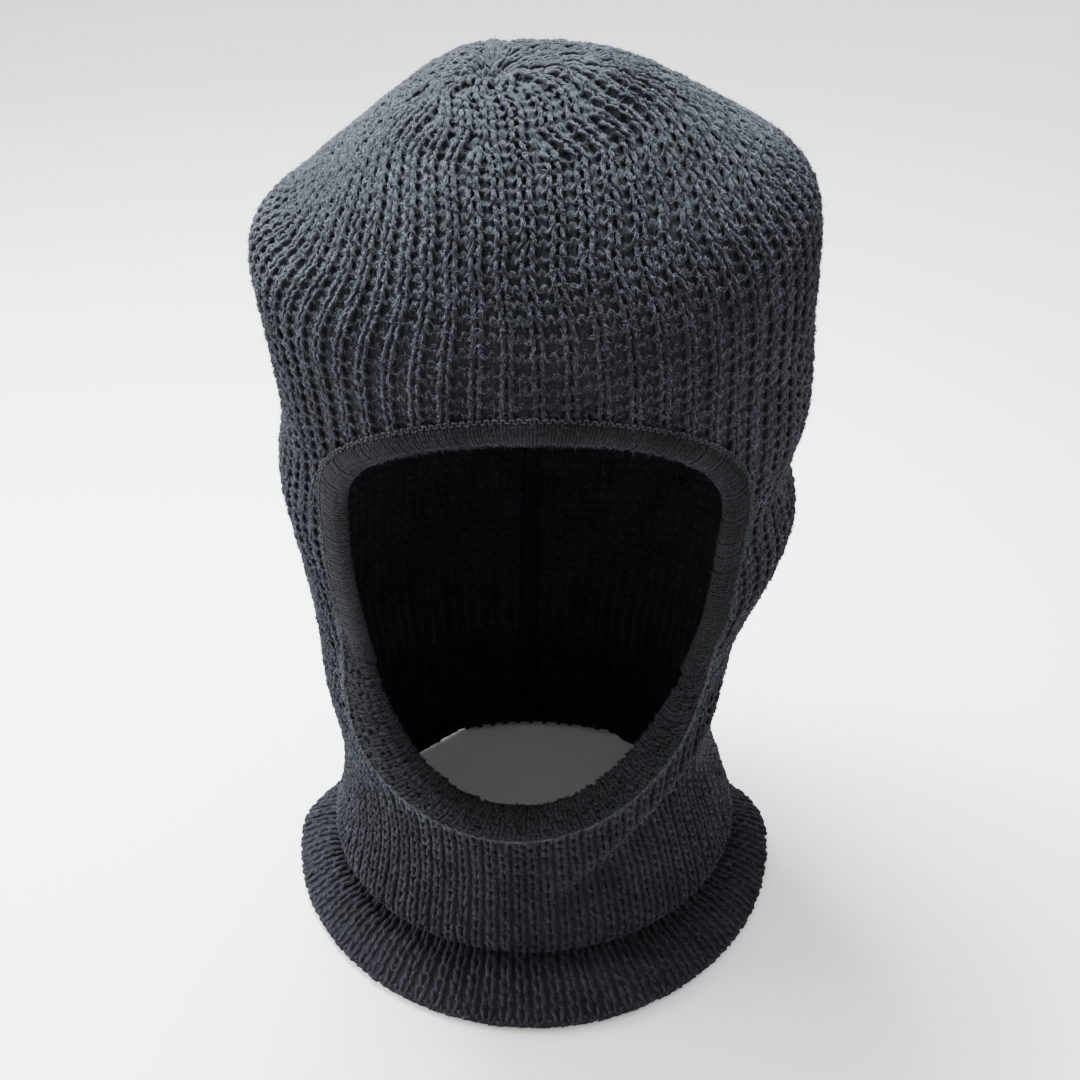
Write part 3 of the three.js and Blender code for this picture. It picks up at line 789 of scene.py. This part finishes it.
def roll_normal(turn, along):
    step, turned = 0.2, 0.004
    down = roll_surface(turn, np.minimum(along + step, ROLL_LENGTH[-1])) - roll_surface(turn, along - step)
    side = roll_surface(turn + turned, along) - roll_surface(turn - turned, along)
    return unit(np.cross(down, side))


def chin_roll(material, ground_material, thread):
    """Courses of rib along the lip, with its ribs running across it, over a strip of ground."""
    first, last = SPLIT_LEFT - 2 * math.pi - LIP_PAST, SPLIT_RIGHT + LIP_PAST
    rib_turns = even_turns(first, last, ROLL_PITCH, ROLL_MIDDLE)
    count = len(rib_turns) - 1
    even = np.ones(count)
    across, up, out = loop_shape(ROLL_SHARE * even, ROLL_RIDGE * even, ROLL_CURL * even, LOOP_SWING * even)
    position = (np.arange(count)[:, None] + across).ravel()
    turn = np.interp(position, np.arange(count + 1), rib_turns)
    rows = np.linspace(ROLL_MARGIN, ROLL_LENGTH[-1] - ROLL_MARGIN, ROLL_ROWS)
    half = ROLL_LOOP * (rows[1] - rows[0])
    parts, seats = [], []
    for row in rows:
        uneven = np.repeat(RNG.normal(0, ROLL_UNEVEN, count * 4), SAMPLES // 4)
        along = np.clip(row - up.ravel() * half, ROLL_EDGE, ROLL_LENGTH[-1] - ROLL_EDGE)
        normals = roll_normal(turn, along)
        relief = (out.ravel() + uneven) * (ROLL_FLAT + (1 - ROLL_FLAT) * smooth(along, *ROLL_FLAT_OVER))
        points = roll_surface(turn, along) + normals * (relief - ROLL_DEPTH)[:, None]
        points += wobble(len(points)) * ROLL_WOBBLE
        parts.append(sweep(points[None], normals[None], ROLL_RADIUS, lobe=PLY_LOBE))
        front = out.ravel() > 0
        seats.append((points[front], np.gradient(points, axis=0)[front], normals[front]))
    roll = mesh_object("chin_roll_yarn", parts, material, "chin_roll")
    parts = [skin(roll_strip(rib_turns))]
    strip = mesh_object("chin_roll_ground", parts, ground_material, "chin_roll")
    border, border_seats = lip_border(first, last, thread)
    return [roll, strip, border], seats, border_seats


def lip_border(first, last, thread):
    """The looped thread along the lip's free border."""
    turn, swing, lift = chain_line(even_turns(first, last, BORDER_PITCH, BORDER_OUT), BORDER_SWING)
    along = ROLL_LENGTH[-1] - BORDER_BACK + swing
    normals = roll_normal(turn, np.minimum(along, ROLL_LENGTH[-1] - ROLL_EDGE))
    points = roll_surface(turn, along) + normals * (lift + BORDER_LIFT)[:, None]
    points += wobble(len(points))
    parts = [sweep(points[None], normals[None], BORDER_RADIUS)]
    border = mesh_object("chin_roll_loops", parts, thread, "chin_roll_stitching")
    return border, [(points, np.gradient(points, axis=0), normals)]


def roll_strip(rib_turns):
    """Rings of a thin closed strip inside the lip's knit."""
    steps_along, steps_across = STRIP_STEPS
    along = np.linspace(STRIP_FROM, ROLL_LENGTH[-1] - STRIP_SHORT, steps_across)
    rings = []
    for turn in np.linspace(rib_turns[0], rib_turns[-1], steps_along):
        turns = np.full(len(along), turn)
        points, normals = roll_surface(turns, along), roll_normal(turns, along)
        outside = points - normals * STRIP_OUTSIDE
        inside = points - normals * STRIP_INSIDE
        rings.append(np.concatenate([outside, inside[::-1]]))
    return np.stack(rings)


# ---- inside: gathering yarn and centre-back seam ----

GATHER_YARN = 0.8  # radius of the gathering yarn
GATHER_TURN = 1.04  # its ends pass each other by this much of a turn
GATHER_WAVE, GATHER_WAVES = 0.06, 5  # how far it waves up and down, as a share of its ring
KNOT_SIZE, KNOT_YARN = 0.6, 0.7
SEAM_FROM = 1.6  # level at which the seam starts
SEAM_PER_LEVEL = 20  # stitches from one station to the next
SEAM_HALF, SEAM_RISE = 3.0, 1.3  # half its width and half its height
SEAM_DEPTH = 5.9  # depth of its middle below the knit's outside
SEAM_YARN, SEAM_CORE, SEAM_SAMPLES = 0.42, 0.9, 14


def drawn_box(node):
    """The middle and size of a CAD node, in drawn millimetres."""
    low, high = (np.array(corner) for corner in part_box(node))
    return ((low + high) / 2 - SHIFT) / METRES, (high - low) / METRES


def closed_yarn(name, path, radius, node, material):
    """A yarn along a path that lies roughly level."""
    up = np.tile([0.0, 0.0, 1.0], (len(path), 1))
    return mesh_object(name, [sweep(path[None], up[None], radius)], material, node)


def gather_yarn(material):
    middle, size = drawn_box("crown_gather_yarn")
    turn = np.linspace(0, 2 * math.pi * GATHER_TURN, 90)
    ring = np.stack([np.cos(turn), np.sin(turn), GATHER_WAVE * np.sin(GATHER_WAVES * turn)], 1)
    path = ring * (size[0] / 2 - GATHER_YARN) + middle
    return closed_yarn("gather_yarn_ring", path, GATHER_YARN, "crown_gather_yarn", material)


def gather_knot(material):
    """A trefoil, as an overhand knot is, in the CAD knot's place."""
    middle, _ = drawn_box("crown_knot")
    t = np.linspace(0, 2 * math.pi, 80)
    knot = np.stack([np.sin(t) + 2 * np.sin(2 * t), np.cos(t) - 2 * np.cos(2 * t), -np.sin(3 * t)], 1)
    return closed_yarn("gather_knot_yarn", knot * KNOT_SIZE + middle, KNOT_YARN, "crown_knot", material)


def back_seam(first, last, name, node, material):
    """The overlocked allowance of the centre-back seam, standing on the inside."""
    count = int((last - first) * SEAM_PER_LEVEL)
    level = np.linspace(first, last, count)
    angle = np.full(count, math.pi / 2)
    around = np.linspace(0, 2 * math.pi, SEAM_SAMPLES)
    across = np.cos(around) * SEAM_HALF
    depth = SEAM_DEPTH + np.sin(around) * SEAM_RISE
    path = body(angle, level)[:, None] - body_normal(angle, level)[:, None] * depth[:, None]
    path = path + across[:, None] * np.array([1.0, 0.0, 0.0])
    middle = path.mean(axis=1, keepdims=True)
    stitches = sweep(path, unit(path - middle), SEAM_YARN)
    core = middle + (path[:, :-1] - middle) * SEAM_CORE
    core = core[:, : (SEAM_SAMPLES - 1) // 2 * 2]  # an even number, which skin needs
    return mesh_object(name, [stitches, skin(core)], material, node)


# ---- fuzz ----

FIBRES_IN_PIECE = 31000
FIBRE_RADII = 0.055, 0.11  # of the thinnest and thickest wisp, which is a few fibres
FIBRE_LONG = 2.6
FIBRE_SHORT = 0.4  # length of the shortest, as a share of the longest
FIBRE_OUT = 1.12  # distance of its middle from the yarn's, as a share of HOOD_RADIUS
FIBRE_SPREAD = 0.55  # how far round the yarn fibres reach from its front
FIBRE_FLAT = 0.8  # how far a fibre that would point off the knit is laid down along it
STANDING, LYING = (0.8, 2.2), (0.0, 0.35)  # how far a fibre's end lifts off


def fibres(name, seats, count, material, stand_share, longest=FIBRE_LONG, stray=0.8):
    """Fine fibres lying along the yarn, each a thin spindle, and some of them standing off it."""
    points, along, normals = (np.concatenate(part) for part in zip(*seats))
    objects = []
    for number, start in enumerate(range(0, count, FIBRES_IN_PIECE)):
        n = min(FIBRES_IN_PIECE, count - start)
        pick = RNG.integers(0, len(points), n)
        normal = normals[pick]
        sideways = unit(normal + RNG.normal(0, FIBRE_SPREAD, (n, 3)))
        middle = points[pick] + sideways * HOOD_RADIUS * FIBRE_OUT
        lie = unit(unit(along[pick]) + RNG.normal(0, stray, (n, 3)))
        lie = unit(lie - normal * (lie * normal).sum(axis=1, keepdims=True) * FIBRE_FLAT)
        length = RNG.uniform(FIBRE_SHORT * longest, longest, (n, 1))
        stands = RNG.random((n, 1)) < stand_share
        end_lift = np.where(stands, RNG.uniform(*STANDING, (n, 1)), RNG.uniform(*LYING, (n, 1)))
        first = middle - lie * length / 2
        last = middle + lie * length / 2 + sideways * end_lift
        objects.append(spindles(f"{name}_{number + 1}", first, middle, last, material))
    return objects


def spindles(name, first, middle, last, material):
    """Closed spindles of three sides, pointed at both ends."""
    n = len(first)
    axis = unit(last - first)
    one = unit(np.cross(axis, RNG.normal(0, 1, (n, 3))))
    two = np.cross(axis, one)
    thick = RNG.uniform(*FIBRE_RADII, (n, 1))
    ring = [middle + thick * (math.cos(a) * one + math.sin(a) * two) for a in np.arange(3) * 2 * math.pi / 3]
    verts = np.stack([first, *ring, last], axis=1).reshape(-1, 3)
    corners = np.array([(0, 2, 1), (0, 3, 2), (0, 1, 3), (4, 1, 2), (4, 2, 3), (4, 3, 1)])
    faces = (corners + np.arange(n)[:, None, None] * 5).reshape(-1, 3)
    uv = np.tile([[0.0, 0.0], [1.0, 0.0], [1.0, 0.3], [1.0, 0.6], [2.0, 0.0]], (n, 1))
    uv = uv + np.repeat(RNG.uniform(0, 50, (n, 1)), 5, axis=0)
    return mesh_object(name, [(verts, faces, uv)], material, None)


# ---- stage ----

FLOOR_SIZE, FLOOR_COLOR = 8, (0.9, 0.9, 0.9, 1.0)  # metres
SKY = 1.7  # strength of the white surroundings
KEY_AT = Vector((-0.1, 0.18, 0.36))  # metres from the crown, as the side light is from the origin
KEY_SIZE, KEY_POWER, KEY_COLOR = 0.3, 26, (0.9, 0.98, 1.0)
SIDE_AT = Vector((-0.8, 0.1, 0.36))
SIDE_AIM = 0.75  # share of the crown's height that it is aimed at
SIDE_SIZE, SIDE_POWER, SIDE_COLOR = 0.5, 18, (0.92, 0.97, 1.0)
LENS = 54.47  # for a sensor 36 mm wide
CAMERA_DOWN = math.radians(36.2)
CAMERA_AT = np.array([2.45, -468.3, 490.9])  # drawn millimetres


def stage():
    bpy.ops.mesh.primitive_plane_add(size=FLOOR_SIZE)
    floor = bpy.context.object
    floor.name = "floor"
    mat = bpy.data.materials.new("floor")
    mat.use_nodes = True
    mat.node_tree.nodes["Principled BSDF"].inputs["Base Color"].default_value = FLOOR_COLOR
    mat.node_tree.nodes["Principled BSDF"].inputs["Roughness"].default_value = 0.9
    floor.data.materials.append(mat)
    world = bpy.data.worlds.new("world")
    bpy.context.scene.world = world
    world.use_nodes = True
    world.node_tree.nodes["Background"].inputs["Color"].default_value = (1, 1, 1, 1)
    world.node_tree.nodes["Background"].inputs["Strength"].default_value = SKY


def area_light(name, place_at, aim, size, power, color):
    data = bpy.data.lights.new(name, "AREA")
    data.size = size
    data.color = color
    data.energy = power
    obj = bpy.data.objects.new(name, data)
    obj.location = place_at
    obj.rotation_euler = (aim - place_at).to_track_quat("-Z", "Y").to_euler()
    bpy.context.scene.collection.objects.link(obj)


def lights():
    crown = Vector((-0.02, 0, CAD_HIGH.z))
    area_light("key", crown + KEY_AT, crown, KEY_SIZE, KEY_POWER, KEY_COLOR)
    area_light("side", SIDE_AT, crown * SIDE_AIM, SIDE_SIZE, SIDE_POWER, SIDE_COLOR)


def camera():
    data = bpy.data.cameras.new("camera")
    data.sensor_width = 36
    data.lens = LENS
    obj = bpy.data.objects.new("camera", data)
    obj.location = place(CAMERA_AT)
    obj.rotation_euler = (math.pi / 2 - CAMERA_DOWN, 0, 0)
    bpy.context.scene.collection.objects.link(obj)
    bpy.context.scene.camera = obj


# ---- assembly ----

HOOD_YARN = yarn_material("hood yarn", (0.0130, 0.0131, 0.0164), sheen=0.05)
# The neck is knitted of the hood's own yarn. Its colour is darker than the hood's as painted shade, for the
# smaller share of light that falls on it below the head.
NECK_YARN_PAINTED_SHADE = yarn_material("neck yarn painted shade", (0.0113, 0.0109, 0.0138), sheen=0.03)
# The lip is turned out of the same yarn. Its much darker colour is painted shade, for the shade under the
# chin.
LIP_YARN_PAINTED_SHADE = yarn_material("lip yarn painted shade", (0.0074, 0.0066, 0.0079), sheen=0.02)
EDGE_YARN = yarn_material("overlock yarn", (0.0127, 0.012, 0.0132), sheen=0.03, contrast=0.8)
THREAD = yarn_material("sewing thread", (0.027, 0.027, 0.03), sheen=0.04)
GROUND = yarn_material("fabric ground", (0.0093, 0.0097, 0.012), sheen=0.02)
# The fibres are the yarn's own black. They are drawn several times paler as painted sheen, for the light
# that the fuzz catches.
FIBRE_PAINTED_SHEEN = yarn_material("fibre", (0.092, 0.094, 0.116), sheen=0.05, contrast=0.5)
# A dimmer copy of that painted sheen, as painted shade, for the fibres of the neck, lip and band, which get
# less light.
SHADED_FIBRE_PAINTED_SHEEN = yarn_material("dark fibre", (0.034, 0.032, 0.038), sheen=0.03, contrast=0.5)

seats = {}
pieces = knit_tube({"rib_knit_hood": HOOD_YARN, "rib_knit_neck": NECK_YARN_PAINTED_SHADE}, seats)
sheet = ground(GROUND)
band, band_seats = face_band(EDGE_YARN, THREAD)
roll, roll_seats, border_seats = chin_roll(LIP_YARN_PAINTED_SHADE, GROUND, THREAD)
pieces += band + roll
pieces.append(gather_yarn(EDGE_YARN))
pieces.append(gather_knot(EDGE_YARN))
pieces.append(back_seam(SEAM_FROM, AT["throat"], "back_seam_stitches_hood", "back_seam_hood", EDGE_YARN))
pieces.append(back_seam(AT["throat"], AT["bulge"], "back_seam_stitches_neck", "back_seam_neck", EDGE_YARN))
hood_seats = seats["crown_knit"] + seats["hood_knit"]
neck_seats = seats["neck_rib"] + seats["hem_flare"]
pieces += fibres("hood_fibres", hood_seats, 155000, FIBRE_PAINTED_SHEEN, 0.15)
pieces += fibres("neck_fibres", neck_seats, 31000, SHADED_FIBRE_PAINTED_SHEEN, 0.05)
pieces += fibres("roll_fibres", roll_seats, 16000, SHADED_FIBRE_PAINTED_SHEEN, 0.03, longest=1.3, stray=1.2)
pieces += fibres("border_fibres", border_seats, 1000, FIBRE_PAINTED_SHEEN, 0.4)
pieces += fibres("band_fibres", band_seats, 5000, SHADED_FIBRE_PAINTED_SHEEN, 0.1)

stage()
lights()
camera()
